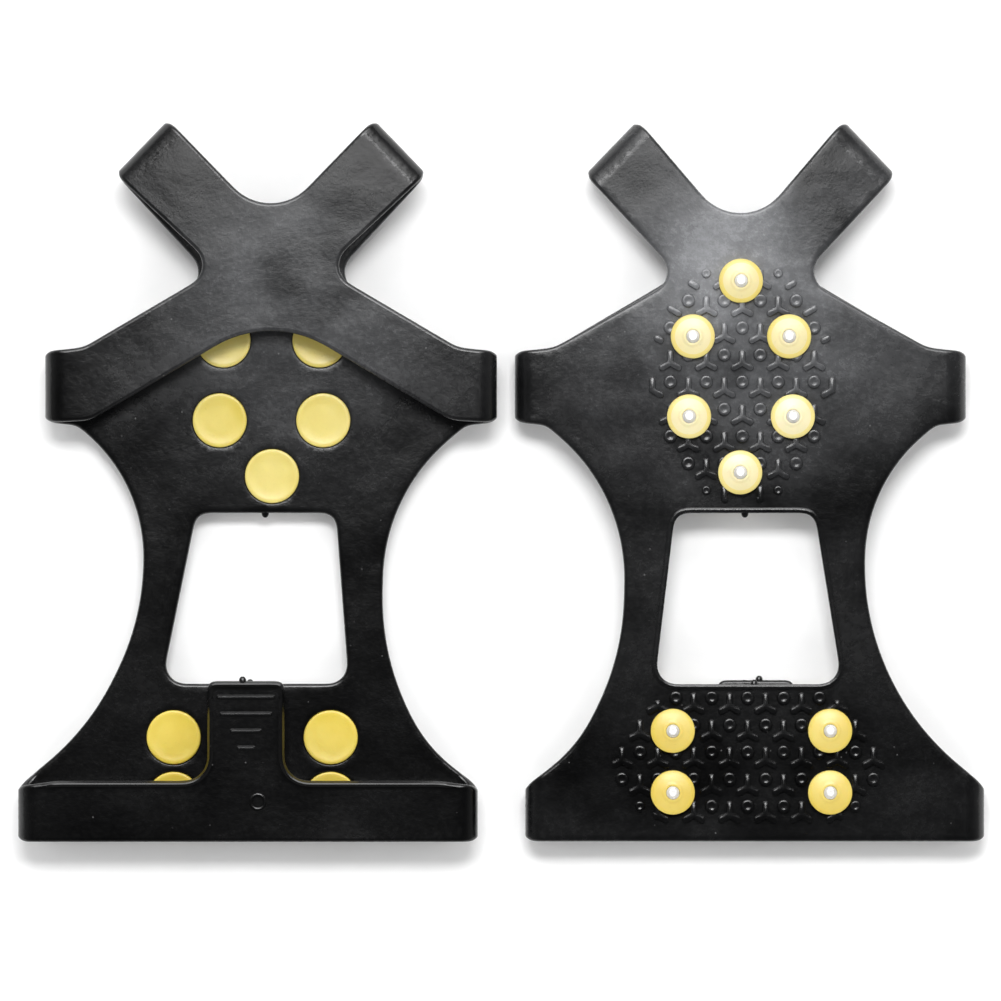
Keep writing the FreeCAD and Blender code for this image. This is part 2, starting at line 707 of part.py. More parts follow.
height = size("plate_bottom") + 2 * size("rubber_thick") + size("instep_gap")
reach = size("wing_reach") + size("cleat_gap") / 2
flex = size("heel_flex")
instep = cleats["left"][1][0].Shape.optimalBoundingBox()
centre_y = (instep.YMax + size("heel_rear_y")) / 2
print("toe-to-heel centre at y", centre_y)
turned_over = FreeCAD.Rotation(Vector(0, 1, 0), 180)
stance = {
    "left": FreeCAD.Placement(Vector(flex - reach, -centre_y, 0), FreeCAD.Rotation()),
    "right": FreeCAD.Placement(Vector(flex + reach, -centre_y, height), turned_over),
}
for side, pieces in cleats.items():
    for piece, place in pieces:
        piece.Placement = stance[side].multiply(FreeCAD.Placement(place, FreeCAD.Rotation()))
doc.recompute()
check_document()

os.makedirs("parts", exist_ok=True)
for side, pieces in cleats.items():
    for piece, _ in pieces:
        shape = piece.Shape
        if shape.isNull() or not shape.isValid() or len(shape.Solids) != 1:
            raise RuntimeError(f"{piece.Label}: not one valid solid")
        shape.exportStep(f"parts/{piece.Label}.step")
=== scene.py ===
"""A pair of shoe ice cleats: rubber overshoes with plastic stud plugs and steel pins.

The rubber is rebuilt from the CAD model. Level cuts through its nodes give the outlines of the sole and of
the straps. A sole is a sheet with rounded edges, stud beds and tread. A strap is a flat sheet with longer
arms, whose ends are then bent round the folds down to the sole. Plan work is done in millimetres in each
cleat's own frame, with the foot side up, and is carried to the row frame at the end.
"""
import math

import bmesh
import bpy
import numpy as np
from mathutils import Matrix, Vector, geometry, kdtree


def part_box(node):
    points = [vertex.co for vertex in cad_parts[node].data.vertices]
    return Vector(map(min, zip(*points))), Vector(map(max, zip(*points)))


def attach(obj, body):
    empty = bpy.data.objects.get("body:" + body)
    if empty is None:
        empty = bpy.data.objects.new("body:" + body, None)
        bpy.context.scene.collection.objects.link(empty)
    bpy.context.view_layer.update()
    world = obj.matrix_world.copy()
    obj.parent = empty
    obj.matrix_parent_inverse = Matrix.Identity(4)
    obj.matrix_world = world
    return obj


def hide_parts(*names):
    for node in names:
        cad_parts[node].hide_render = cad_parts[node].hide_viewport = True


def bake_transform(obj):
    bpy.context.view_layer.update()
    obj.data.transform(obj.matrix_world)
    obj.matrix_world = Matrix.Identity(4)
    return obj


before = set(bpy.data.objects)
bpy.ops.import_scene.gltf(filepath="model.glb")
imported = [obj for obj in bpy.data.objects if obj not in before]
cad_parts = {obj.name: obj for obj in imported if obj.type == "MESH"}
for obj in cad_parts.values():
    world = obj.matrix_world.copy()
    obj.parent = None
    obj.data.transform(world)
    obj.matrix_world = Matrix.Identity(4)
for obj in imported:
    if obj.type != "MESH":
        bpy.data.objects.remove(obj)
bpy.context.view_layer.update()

MM = 0.001

# Lengths are in millimetres up to the looks and scene. In a PROFILE or TOP table each pair is a growth or a
# radius, and a height. A FIELD table is described at tread_fields.

# rubber sheets
EDGE_STEP = 0.8
EASE_ROUNDS = 4
GRID_STEP, GRID_CLEAR = 1.3, 0.6
EDGE_ROUND, ROUND_STEPS = 1.0, 4
SHORTEST_LOOP = 5
POINT_BATCH = 4000
CORNER_ANGLE = math.radians(40)
SHARP_ANGLE = math.radians(35)
RIM_WIDTH, RIM_HEIGHT, RIM_STEPS = 1.7, 0.55, 7
RIM_FULLNESS, RIM_LIP = 0.8, 0.1
NUB_RADIUS, NUB_REACH, NUB_POINTS = 1.1, 1.4, 12
NUB_RINGS = (-0.4, 0.0, 0.5, 0.8, 0.95)
WINDOW_EDGE, WINDOW_NUB_SHIFT = 2, 2

# straps and their folds
FOLD_STEPS = 25
SLIDE_STEPS, SLIDE_LEAST = 5, 0.5
SEAM_GAP = 0.1
SEAM_MAX = 30.0
CUT_CLEAR = 0.01
ARM_SPARE = 15.0
ARM_CORNER, CORNER_FROM = 1.0, 0.75
BEAD_WIDTH, BEAD_HEIGHT, BEAD_STEPS = 0.8, 0.6, 6
BEAD_SHOULDER = 0.8
BEAD_BAND, BEAD_FADE, BEAD_FOLD_FADE = 11, 3, 6
TAB_REACH, TAB_NUB_SHIFT = 12, 1
RIDGE_HEIGHT, RIDGE_HALF = 0.8, 0.5
RIDGES = ((4.8, 17.0), (9.8, 15.3), (14.8, 9.2), (19.8, 5.3))  # distance from the tab's end, and width
RIDGE_PROFILE = ((0.35, -0.05), (0.1, 0.12), (0.0, 0.4), (-0.12, 0.66), (-0.32, RIDGE_HEIGHT))
MARK_SIDE, MARK_DEPTH, MARK_POINTS = 3.5, 35.6, 40
MARK_PROFILE = (
    (2.8, -0.05), (2.62, 0.1), (2.5, 0.32), (2.3, 0.4),
    (1.95, 0.4), (1.75, 0.32), (1.62, 0.1), (1.45, -0.05),
)

# studs
STUDS = range(1, 11)
FOREFOOT_STUDS = range(1, 7)
HEEL_STUDS = range(7, 11)
RECESS_GAP = 0.22
RECESS_ROUND, RECESS_STEPS = 0.25, 3
RECESS_DEPTH = 0.8
PLUG_ROUND = 0.5
DISH_RIM, DISH_SLOPE = 1.3, 0.3
DISH_DEPTH, DISH_STEP = 0.14, 0.02
PIN_RADIUS, PIN_CHAMFER = 1.9, 0.2
PIN_GAP, PIN_BED = 0.03, 0.4
TIP_RADIUS, TIP_ROUND, TIP_DISH = 0.95, 0.4, 0.06
SHOULDER_HEIGHT, SHOULDER_ROUND = 1.15, 0.15
NECK_RADIUS = 3.5
FLANGE_RADIUS = 6.5
FLANGE_FACE = 5.3
FLANGE_HEIGHT = 2.9
FLANGE_SIDE = 1.3
FLANGE_TOP = (
    (FLANGE_FACE, 0.5), (FLANGE_FACE - 1.0, 0.18), (3.5, 0.0), (3.1, -0.06),
    (2.75, -0.3), (2.4, -0.38), (PIN_RADIUS + 0.1, -0.3),
)
TURNED_POINTS, PIN_POINTS = 72, 48

# tread
PITCH, ROW = 10.6, 8.0
COLUMNS = range(-5, 6)
FOREFOOT_FIELD = ((-0.4, 10.2), (5, 5), (-0.4, 10.2), (27.0, 35.5))
HEEL_FIELD = ((1.1, 18.8), (0, 4), (0.9, 0.3), (40.4, 23.6))
BUMP_EDGE, BUMP_FADE, BUMP_SMALLEST = 1.04, 12, 0.45
BUMP_RADIUS, BUMP_POINTS = 1.9, 28
LUG_HEIGHT = 1.3
LUG_PROFILE = ((0.25, -0.05), (0.06, 0.06), (0.0, 0.25), (-0.04, 1.0), (-0.14, 1.2), (-0.34, LUG_HEIGHT))
TIP_STEPS = 8
STAR_OFFSET = 2.4
STAR_ARM, STAR_SAMPLES = 3.75, 13
STAR_HALF = 0.92
STAR_SHORTEST, STAR_CORE = 1.1, 0.9

# looks and scene, in metres
# reach of the grey dust and painted sheen round the middle of the X, and the shift of that middle on the
# left cleat
DUST_AND_SHEEN_REACH = 0.105
DUST_AND_SHEEN_SHIFT = 0.01
RUBBER_BLACK = (0.0008, 0.0008, 0.0009)
FLOOR_HALF, FLOOR_DROP = 3.0, 0.0003
CAMERA_PLACE = (-0.0003, -0.00545, 2.4)
VIEW_WIDTH, VIEW_LEVEL = 0.2953, 0.012


# ---------------------------------------------------------------- frames and cuts
class Cleat:
    """One cleat's own frame: x across and z up with the foot side up. The right cleat is turned over."""

    def __init__(self, side):
        self.side = side
        self.turn = 1 if side == "left" else -1
        self.tall = max(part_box(f"left_{part}")[1].z for part in ("instep_strap", "heel_strap")) / MM
        low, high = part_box(f"{side}_stud_plug_1")
        self.x = (low.x + high.x) / 2 / MM
        self.low, self.top = self.heights("instep_strap")
        self.high = self.heights("sole")[1]
        self.thick = self.high - self.low

    def swap(self, points):
        """Row frame to cleat frame, or back, in millimetres."""
        out = np.array(points, float)
        if self.turn < 0:
            out[:, 2] = self.tall - out[:, 2]
        return out

    def local(self, points):
        out = self.swap(points)
        out[:, 0] = self.turn * (out[:, 0] - self.x)
        return out

    def row(self, points):
        out = self.swap(points)
        out[:, 0] = self.turn * out[:, 0] + self.x
        return out

    def heights(self, part):
        """Lowest and highest z of a node in the cleat's frame."""
        ends = self.local(np.array(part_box(f"{self.side}_{part}")) / MM)[:, 2]
        return min(ends), max(ends)

    def place(self, part):
        """Plan centre of a node."""
        return self.local(np.array(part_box(f"{self.side}_{part}")) / MM).mean(0)[:2]

    def cut(self, part, height):
        """Closed plan loops of a node at a height, largest first."""
        level = (height if self.turn > 0 else self.tall - height) * MM
        mesh = bmesh.new()
        mesh.from_mesh(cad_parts[f"{self.side}_{part}"].data)
        bmesh.ops.remove_doubles(mesh, verts=mesh.verts, dist=1e-6)
        everything = mesh.verts[:] + mesh.edges[:] + mesh.faces[:]
        found = bmesh.ops.bisect_plane(mesh, geom=everything, plane_co=(0, 0, level), plane_no=(0, 0, 1))
        edges = [item for item in found["geom_cut"] if isinstance(item, bmesh.types.BMEdge)]
        loops = [self.local(np.array(loop) / MM)[:, :2] for loop in chained(edges)]
        mesh.free()
        loops = [loop if area(loop) > 0 else loop[::-1] for loop in loops]
        return sorted(loops, key=area, reverse=True)


def chained(edges):
    """Closed loops of points from loose cut edges."""
    near = {}
    for edge in edges:
        a, b = edge.verts
        near.setdefault(a, []).append(b)
        near.setdefault(b, []).append(a)
    loops, seen = [], set()
    for start in near:
        if start in seen or len(near[start]) != 2:
            continue
        loop, last, here = [], None, start
        while here not in seen:
            seen.add(here)
            loop.append(tuple(here.co))
            ahead = [v for v in near[here] if v is not last and v not in seen]
            last, here = here, ahead[0] if ahead else start
        if len(loop) > SHORTEST_LOOP:
            loops.append(loop)
    return loops


def area(loop):
    """A loop's area, negative where it runs clockwise."""
    x, y = loop[:, 0], loop[:, 1]
    return 0.5 * float(np.sum(x * np.roll(y, -1) - np.roll(x, -1) * y))


# ---------------------------------------------------------------- plan curves
def resample(points, step):
    """The same open line with even steps."""
    points = np.asarray(points, float)
    along = np.concatenate([[0], np.cumsum(np.linalg.norm(np.diff(points, axis=0), axis=1))])
    count = max(int(round(along[-1] / step)), 2)
    at = np.linspace(0, along[-1], count + 1)
    return np.stack([np.interp(at, along, points[:, axis]) for axis in (0, 1)], axis=1)


def eased(points):
    """An open line with its small facets smoothed and its ends kept."""
    points = points.copy()
    for _ in range(EASE_ROUNDS):
        points[1:-1] = points[1:-1] / 2 + (points[:-2] + points[2:]) / 4
    return points


def eased_loop(loop):
    """A closed loop with even steps and its small facets smoothed."""
    loop = resample(np.vstack([loop, loop[:1]]), EDGE_STEP)[:-1]
    for _ in range(EASE_ROUNDS):
        loop = loop / 2 + (np.roll(loop, 1, 0) + np.roll(loop, -1, 0)) / 4
    return loop


def left_normals(points, closed):
    """Unit ways to the left of a line of points."""
    ahead = np.roll(points, -1, 0) - np.roll(points, 1, 0)
    if not closed:
        ahead[0], ahead[-1] = points[1] - points[0], points[-1] - points[-2]
    ahead /= np.linalg.norm(ahead, axis=1)[:, None]
    return np.stack([-ahead[:, 1], ahead[:, 0]], axis=1)


def split_at_corners(loop):
    """Open lines between a loop's sharp corners."""
    before = loop - np.roll(loop, 1, 0)
    after = np.roll(loop, -1, 0) - loop
    turn = np.arctan2(before[:, 0] * after[:, 1] - before[:, 1] * after[:, 0], (before * after).sum(1))
    corners = [int(i) for i in np.nonzero(np.abs(turn) > CORNER_ANGLE)[0]]
    lines = []
    for here, there in zip(corners, corners[1:] + [corners[0] + len(loop)]):
        lines.append(loop[np.arange(here, there + 1) % len(loop)])
    return lines


def straight(line):
    """Whether a line is a seam: straight and no longer than an arm is wide."""
    span = np.linalg.norm(line[-1] - line[0])
    return abs(np.linalg.norm(np.diff(line, axis=0), axis=1).sum() - span) < 1e-3 and span < SEAM_MAX


def closed_outline(lines):
    """One closed outline from (line, is_seam) parts, with each point's way into the sheet.

    A seam is the flat end of an arm, which meets another piece, so its points move only along it.
    """
    count = len(lines)
    curves = [None if seam else eased(resample(line, EDGE_STEP)) for line, seam in lines]
    ways = [None if curve is None else left_normals(curve, False) for curve in curves]
    for i, (curve, way) in enumerate(zip(curves, ways)):
        for end, (seam, is_seam) in ((0, lines[i - 1]), (-1, lines[(i + 1) % count])):
            if curve is not None and is_seam:
                along = np.asarray(seam[end]) - curve[end]
                along /= np.linalg.norm(along)
                slide = along / max(float(along @ way[end]), SLIDE_LEAST)
                for k in range(SLIDE_STEPS):
                    near = k if end == 0 else -1 - k
                    way[near] = slide + (way[near] - slide) * k / SLIDE_STEPS
    points, moves = [], []
    for i, (line, is_seam) in enumerate(lines):
        if not is_seam:
            points.append(curves[i])
            moves.append(ways[i])
            continue
        start, end = curves[i - 1][-1], curves[(i + 1) % count][0]
        steps = max(int(np.linalg.norm(end - start) / EDGE_STEP), 2)
        share = np.linspace(0, 1, steps + 1)[1:-1, None]
        points.append(start + (end - start) * share)
        moves.append(ways[i - 1][-1] + (ways[(i + 1) % count][0] - ways[i - 1][-1]) * share)
    return np.vstack(points), np.vstack(moves)


def circle(centre, radius, count=64):
    """Points round a circle, clockwise, with their ways into the sheet outside it."""
    angles = -np.arange(count) * 2 * math.pi / count
    spokes = np.stack([np.cos(angles), np.sin(angles)], axis=1)
    return np.asarray(centre) + spokes * radius, spokes


# ---------------------------------------------------------------- sheet meshes
class Sheet:
    """A closed mesh between two filled outlines, built ring by ring in millimetres."""

    def __init__(self):
        self.points, self.faces = [], []

    def ring(self, plan, heights):
        first = len(self.points)
        heights = np.broadcast_to(heights, len(plan))
        self.points += [(x, y, z) for (x, y), z in zip(plan, heights)]
        return list(range(first, first + len(plan)))

    def bridge(self, lower, upper):
        for i in range(len(lower)):
            j = (i + 1) % len(lower)
            self.faces.append((lower[i], lower[j], upper[j], upper[i]))

    def wall(self, points, ways, profile, lifts=None):
        """Rings that follow a profile of (offset into the sheet, height) pairs. Returns the end rings.

        lifts gives each ring an extra height for every point, as a share (ring) times a mask (point).
        """
        shares, mask = lifts or ([0.0] * len(profile), 0.0)
        rings = [self.ring(points + ways * offset, height + share * mask)
                 for (offset, height), share in zip(profile, shares)]
        for lower, upper in zip(rings, rings[1:]):
            self.bridge(lower, upper)
        return rings[0], rings[-1]

    def fill(self, rings, height, facing_up):
        """A triangulated face inside the first ring and outside the others."""
        loops = [np.array([self.points[i][:2] for i in ring]) for ring in rings]
        inner = grid_inside(loops)
        plan = np.vstack(loops + [inner])
        constraints, first = [], 0
        for loop in loops:
            constraints += [(first + i, first + (i + 1) % len(loop)) for i in range(len(loop))]
            first += len(loop)
        flat = [Vector(p) for p in plan]
        made, _, triangles, origins, _, _ = geometry.delaunay_2d_cdt(flat, constraints, [], 1, 1e-7)
        new = self.ring(inner, height)
        index = [i for ring in rings for i in ring] + new
        match = [index[origin[0]] for origin in origins]
        corners = np.array([[made[i] for i in triangle] for triangle in triangles], float)
        in_hole = inside(corners.mean(axis=1), loops[1:])
        for triangle, dropped in zip(triangles, in_hole):
            if not dropped:
                face = [match[i] for i in triangle]
                self.faces.append(tuple(face if facing_up else face[::-1]))


def inside(points, loops):
    """Whether each plan point is inside an odd number of loops."""
    result = np.zeros(len(points), bool)
    for loop in loops:
        a, b = loop, np.roll(loop, -1, 0)
        for begin in range(0, len(points), POINT_BATCH):
            p = points[begin:begin + POINT_BATCH]
            straddles = (a[None, :, 1] > p[:, None, 1]) != (b[None, :, 1] > p[:, None, 1])
            rise = np.where(b[:, 1] == a[:, 1], 1.0, b[:, 1] - a[:, 1])
            x = a[:, 0] + (p[:, None, 1] - a[:, 1]) * (b[:, 0] - a[:, 0]) / rise
            crossed = (straddles & (p[:, None, 0] < x)).sum(1)
            result[begin:begin + POINT_BATCH] ^= (crossed % 2).astype(bool)
    return result


def grid_inside(loops):
    """A hexagonal grid of points inside the loops, clear of their lines."""
    low, high = loops[0].min(0), loops[0].max(0)
    rows = np.arange(low[1], high[1], GRID_STEP * math.sqrt(3) / 2)
    columns = np.arange(low[0], high[0], GRID_STEP)
    grid = np.array([(x + (GRID_STEP / 2 if i % 2 else 0), y) for i, y in enumerate(rows) for x in columns])
    grid = grid[inside(grid, loops)]
    border = np.vstack(loops)
    tree = kdtree.KDTree(len(border))
    for i, (x, y) in enumerate(border):
        tree.insert((x, y, 0), i)
    tree.balance()
    return np.array([p for p in grid if tree.find((p[0], p[1], 0))[2] > GRID_STEP * GRID_CLEAR])


def rounded_profile(low, high):
    """A rounded edge, from the lower face to the upper one."""
    turn = [math.pi / 2 * k / ROUND_STEPS for k in range(ROUND_STEPS, -1, -1)]
    lower = [(EDGE_ROUND * (1 - math.cos(a)), low + EDGE_ROUND * (1 - math.sin(a))) for a in turn]
    upper = [(offset, low + high - height) for offset, height in reversed(lower)]
    return lower + upper


def finish_mesh(name, cleat, points, faces):
    """A shaded mesh object in the row frame, from points in a cleat's frame."""
    data = bpy.data.meshes.new(name)
    data.from_pydata((cleat.row(points) * MM).tolist(), [], faces)
    mesh = bmesh.new()
    mesh.from_mesh(data)
    bmesh.ops.remove_doubles(mesh, verts=mesh.verts, dist=1e-7)
    bmesh.ops.recalc_face_normals(mesh, faces=mesh.faces)
    mesh.to_mesh(data)
    mesh.free()
    data.shade_smooth()
    data.set_sharp_from_angle(angle=SHARP_ANGLE)
    piece = bpy.data.objects.new(name, data)
    bpy.context.scene.collection.objects.link(piece)
    return piece


# ---------------------------------------------------------------- sole
def make_sole(cleat, lines, window):
    """The sole: a sheet with a beaded window, ten stud beds, the tread and two gate marks."""
    low, high = cleat.low, cleat.high
    sheet = Sheet()
    bottom, top = sheet.wall(*closed_outline(lines), rounded_profile(low, high))
    bottoms, tops = [bottom], [top]
    window = eased_loop(window)[::-1]
    bead = []
    for k in range(RIM_STEPS):
        turn = math.pi * k / RIM_STEPS
        rise = RIM_HEIGHT * math.sin(turn) ** RIM_FULLNESS
        bead.append((RIM_WIDTH / 2 * (1 + math.cos(turn)), low - rise))
    bead += [(0.0, low + RIM_LIP)] + rounded_profile(low, high)[ROUND_STEPS + 1:]
    bottom, top = sheet.wall(window, left_normals(window, True), bead)
    bottoms.append(bottom)
    tops.append(top)
    for index in STUDS:
        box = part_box(f"{cleat.side}_stud_plug_{index}")
        bed = (box[1].x - box[0].x) / 2 / MM + RECESS_GAP
        floor = high - RECESS_DEPTH
        profile = [(NECK_RADIUS, low), (NECK_RADIUS, floor), (bed, floor)]
        for k in range(RECESS_STEPS + 1):
            angle = math.pi / 2 / RECESS_STEPS * k
            rise = RECESS_ROUND * (1 - math.sin(angle))
            profile.append((bed + RECESS_ROUND * (1 - math.cos(angle)), high - rise))
        bottom, top = sheet.wall(*circle(cleat.place(f"stud_plug_{index}"), 0.0), profile)
        bottoms.append(bottom)
        tops.append(top)
    sheet.fill(tops, high, True)
    sheet.fill(bottoms, low, False)
    add_tread(sheet, cleat)
    for foot_y, way in ((window[:, 1].max(), -1), (window[:, 1].min(), 1)):
        edge = window[np.abs(window[:, 1] - foot_y) < WINDOW_EDGE, 0]
        middle = (edge.min() + edge.max()) / 2 - (WINDOW_NUB_SHIFT if way > 0 else 0)
        add_nub(sheet, (middle, foot_y), way, (low + high) / 2, cleat.thick / 2)
    piece = finish_mesh(f"{cleat.side}_rubber_sole", cleat, sheet.points, sheet.faces)
    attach(piece, f"{cleat.side}_sole")
    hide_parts(f"{cleat.side}_sole")
    return piece


def add_nub(sheet, foot, way, level, half):
    """A small gate mark left by moulding, on an edge that faces front (way 1) or rear (-1)."""
    rings = []
    flat = min(half / NUB_REACH, 0.8)
    for share in NUB_RINGS:
        radius = NUB_RADIUS * math.sqrt(max(1 - max(share, 0) ** 2, 0.05))
        points, _ = circle((0, 0), radius, NUB_POINTS)
        plan = [(foot[0] + x, foot[1] + way * share * NUB_REACH) for x, _ in points]
        rings.append(sheet.ring(plan, [level + y * flat for _, y in points]))
    for lower, upper in zip(rings, rings[1:]):
        sheet.bridge(lower, upper)
    sheet.faces += [tuple(rings[-1]), tuple(reversed(rings[0]))]


def tread_fields(cleat):
    """Each field's lattice origin, rows in front and behind, and its ellipse's centre and half axes.

    A field's own values are measured from the middle of the studs that it lies round.
    """
    middle = np.array([cleat.place("stud_plug_4"), cleat.place("stud_plug_5")]).mean(0)
    heel = np.array([cleat.place(f"stud_plug_{i}") for i in HEEL_STUDS]).mean(0)
    fields = []
    for place, (origin, rows, centre, half) in ((middle, FOREFOOT_FIELD), (heel, HEEL_FIELD)):
        fields.append((place + origin, rows, place + centre, half))
    return fields


def add_tread(sheet, cleat):
    """Round bumps with a dimple, and three-armed lugs between them. The field's edge cuts some short."""
    low = cleat.low
    for origin, (front, rear), centre, half in tread_fields(cleat):
        def reach(point):
            return math.hypot((point[0] - centre[0]) / half[0], (point[1] - centre[1]) / half[1])
        for row in range(-rear, front + 1):
            for column in COLUMNS:
                x = origin[0] + (column + (row % 2) / 2) * PITCH
                y = origin[1] + row * ROW
                size = min((BUMP_EDGE - reach((x, y))) * BUMP_FADE, 1.0)
                if size > BUMP_SMALLEST:
                    add_bump(sheet, (x, y), low, size)
                add_star(sheet, np.array((x + PITCH / 2, y - STAR_OFFSET)), low, reach)


def add_bump(sheet, centre, low, size):
    """A low round lug with a rounded edge, a dimple and a small fillet at its foot."""
    radius, tall = BUMP_RADIUS * size, LUG_HEIGHT * min(size + 0.1, 1)
    profile = [
        (radius + 0.25, -0.05), (radius + 0.08, 0.06), (radius, 0.25), (radius - 0.04, tall - 0.3),
        (radius - 0.14, tall - 0.08), (radius - 0.32, tall), (radius * 0.55, tall),
        (radius * 0.42, tall - 0.08), (radius * 0.25, tall - 0.16),
    ]
    rings = []
    for ring_radius, height in profile:
        points, _ = circle(centre, ring_radius, BUMP_POINTS)
        rings.append(sheet.ring(points, low - height))
    for lower, upper in zip(rings, rings[1:]):
        sheet.bridge(lower, upper)
    sheet.faces += [tuple(rings[-1]), tuple(reversed(rings[0]))]


def arm_outline(centre, arms, half):
    """Plan of a lug whose (angle, length) arms leave its centre: round tips and sharp inner corners."""
    points = []
    for i, (angle, long) in enumerate(arms):
        tip = centre + (long - STAR_HALF) * np.array((math.cos(angle), math.sin(angle)))
        for k in range(TIP_STEPS + 1):
            turn = angle - math.pi / 2 + math.pi * k / TIP_STEPS
            points.append(tip + half * np.array((math.cos(turn), math.sin(turn))))
        gap = (arms[(i + 1) % len(arms)][0] - angle) % (2 * math.pi)
        bisector = angle + gap / 2
        corner = half / math.sin(gap / 2)
        points.append(centre + corner * np.array((math.cos(bisector), math.sin(bisector))))
    return np.array(points)


def lug_rings(sheet, outline_at, middle, low):
    """A raised lug from a function that gives its outline for a half width, and its top's middle."""
    rings = [sheet.ring(outline_at(STAR_HALF + grow), low - height) for grow, height in LUG_PROFILE]
    for lower, upper in zip(rings, rings[1:]):
        sheet.bridge(lower, upper)
    top = sheet.ring([middle], low - LUG_HEIGHT)[0]
    last = rings[-1]
    for i in range(len(last)):
        sheet.faces.append((last[i], last[(i + 1) % len(last)], top))
    sheet.faces.append(tuple(reversed(rings[0])))


def add_star(sheet, centre, low, reach):
    """A three-armed lug. Where the field's edge crosses it, arms are cut short or stand alone."""
    arms, bars = [], []
    for angle in (math.radians(a) for a in (90, 210, 330)):
        way = np.array((math.cos(angle), math.sin(angle)))
        kept = [d for d in np.linspace(0, STAR_ARM, STAR_SAMPLES) if reach(centre + way * d) < 1]
        if not kept or kept[-1] - kept[0] < STAR_SHORTEST:
            continue
        if kept[0] < STAR_CORE:
            arms.append((angle, kept[-1]))
        else:
            bars.append((centre + way * kept[0], centre + way * (kept[-1] - STAR_HALF)))
    if len(arms) > 1:
        lug_rings(sheet, lambda half: arm_outline(centre, arms, half), centre, low)
    elif arms:
        angle, long = arms[0]
        way = np.array((math.cos(angle), math.sin(angle)))
        bars.append((centre, centre + way * (long - STAR_HALF)))
    for start, end in bars:
        lug_rings(sheet, lambda half: bar_outline(start, end, half), (start + end) / 2, low)


def bar_outline(start, end, half):
    """A bar with round ends."""
    angle = math.atan2(end[1] - start[1], end[0] - start[0])
    points = []
    for centre, first in ((end, angle - math.pi / 2), (start, angle + math.pi / 2)):
        for k in range(TIP_STEPS + 1):
            turn = first + math.pi * k / TIP_STEPS
            points.append(centre + half * np.array((math.cos(turn), math.sin(turn))))
    return np.array(points)


# ---------------------------------------------------------------- straps
class Fold:
    """The half ring at an arm's end. Plan points past its seam are bent round it, down to the sole."""

    def __init__(self, seam, middle, radius):
        self.start = seam[0]
        self.length = float(np.linalg.norm(seam[-1] - seam[0]))
        self.across = (seam[-1] - seam[0]) / self.length
        self.out = np.array((self.across[1], -self.across[0]))
        self.middle = middle
        self.radius = radius
        self.ends = (0.0, self.length)

    def depth(self, points):
        return (points - self.start) @ self.out - SEAM_GAP

    def side(self, points):
        return (points - self.start) @ self.across

    def belongs(self, points):
        side = self.side(points)
        return (self.depth(points) > 0) & (side > -ARM_SPARE) & (side < self.length + ARM_SPARE)

    def edge(self, which, cross):
        """One edge of the arm's flat extension, from where the strap's edge crosses the seam to the sole.

        The edge's place across the arm runs from the strap's to the end's and on to the sole's.
        """
        angles = np.linspace(0, math.pi, FOLD_STEPS)
        reach = np.sin(angles)
        begin = np.where(angles < math.pi / 2, self.side(cross), (0.0, self.length)[which])
        inwards = (1, -1)[which]
        corner = inwards * ARM_CORNER * np.clip((reach - CORNER_FROM) / (1 - CORNER_FROM), 0, 1) ** 2
        side = begin + (self.ends[which] - begin) * reach + corner
        deep = SEAM_GAP + self.radius * angles
        line = self.start + side[:, None] * self.across + deep[:, None] * self.out
        last = self.start + (0.0, self.length)[which] * self.across
        return np.vstack([line, last + (deep[-1] + SEAM_GAP) * self.out])

    def bend(self, points):
        """Moves flat points (x, y, distance above the sheet's middle) round the fold, in place."""
        past = self.belongs(points[:, :2])
        depth, side = self.depth(points[past, :2]), self.side(points[past, :2])
        reach = self.radius + points[past, 2]
        angle = np.minimum(depth / self.radius, math.pi)
        out = reach * np.sin(angle) + SEAM_GAP - np.maximum(depth - math.pi * self.radius, 0)
        bent = self.start + side[:, None] * self.across + out[:, None] * self.out
        points[past] = np.column_stack([bent, self.middle + reach * np.cos(angle)])
        return past


def strap_folds(cleat, part, seams, top):
    """A strap's folds, from the sole's seams and a level cut through the middle of the half rings."""
    middle, radius = (cleat.low + top) / 2, (top - cleat.low - cleat.thick) / 2
    folds = [Fold(seam, middle, radius) for seam in seams]
    for loop in cleat.cut(part, middle + CUT_CLEAR):
        for fold in folds:
            if fold.belongs(loop.mean(0)[None])[0]:
                side = fold.side(loop)
                fold.ends = (float(side.min()), float(side.max()))
    return folds


def strap_outline(cleat, part, folds, level):
    """A strap's flat outline: the cut through its upper layer, with its arms run on past the folds."""
    loop = cleat.cut(part, level)[0]
    beyond = np.full(len(loop), -1)
    for index, fold in enumerate(folds):
        beyond[fold.belongs(loop)] = index
    start = next(i for i in range(len(loop)) if beyond[i - 1] >= 0 > beyond[i])
    loop, beyond = np.roll(loop, -start, 0), np.roll(beyond, -start)
    lines, run = [], []
    for i in range(-1, len(loop) - 1):
        a, b = loop[i], loop[i + 1]
        if beyond[i] < 0:
            run.append(a)
            if beyond[i + 1] >= 0:
                fold = folds[beyond[i + 1]]
                cross = crossing(a, b, fold)
                edge, other = fold.edge(0, cross), fold.edge(1, cross)
                lines += [(np.vstack([run, edge]), False), (np.array([edge[-1], other[-1]]), True)]
        elif beyond[i + 1] < 0:
            fold = folds[beyond[i]]
            run = list(fold.edge(1, crossing(a, b, fold))[::-1])
    return lines


def crossing(a, b, fold):
    """Where the line from a to b crosses a fold's seam."""
    near, far = fold.depth(np.array([a, b]))
    return a + (b - a) * (near / (near - far))


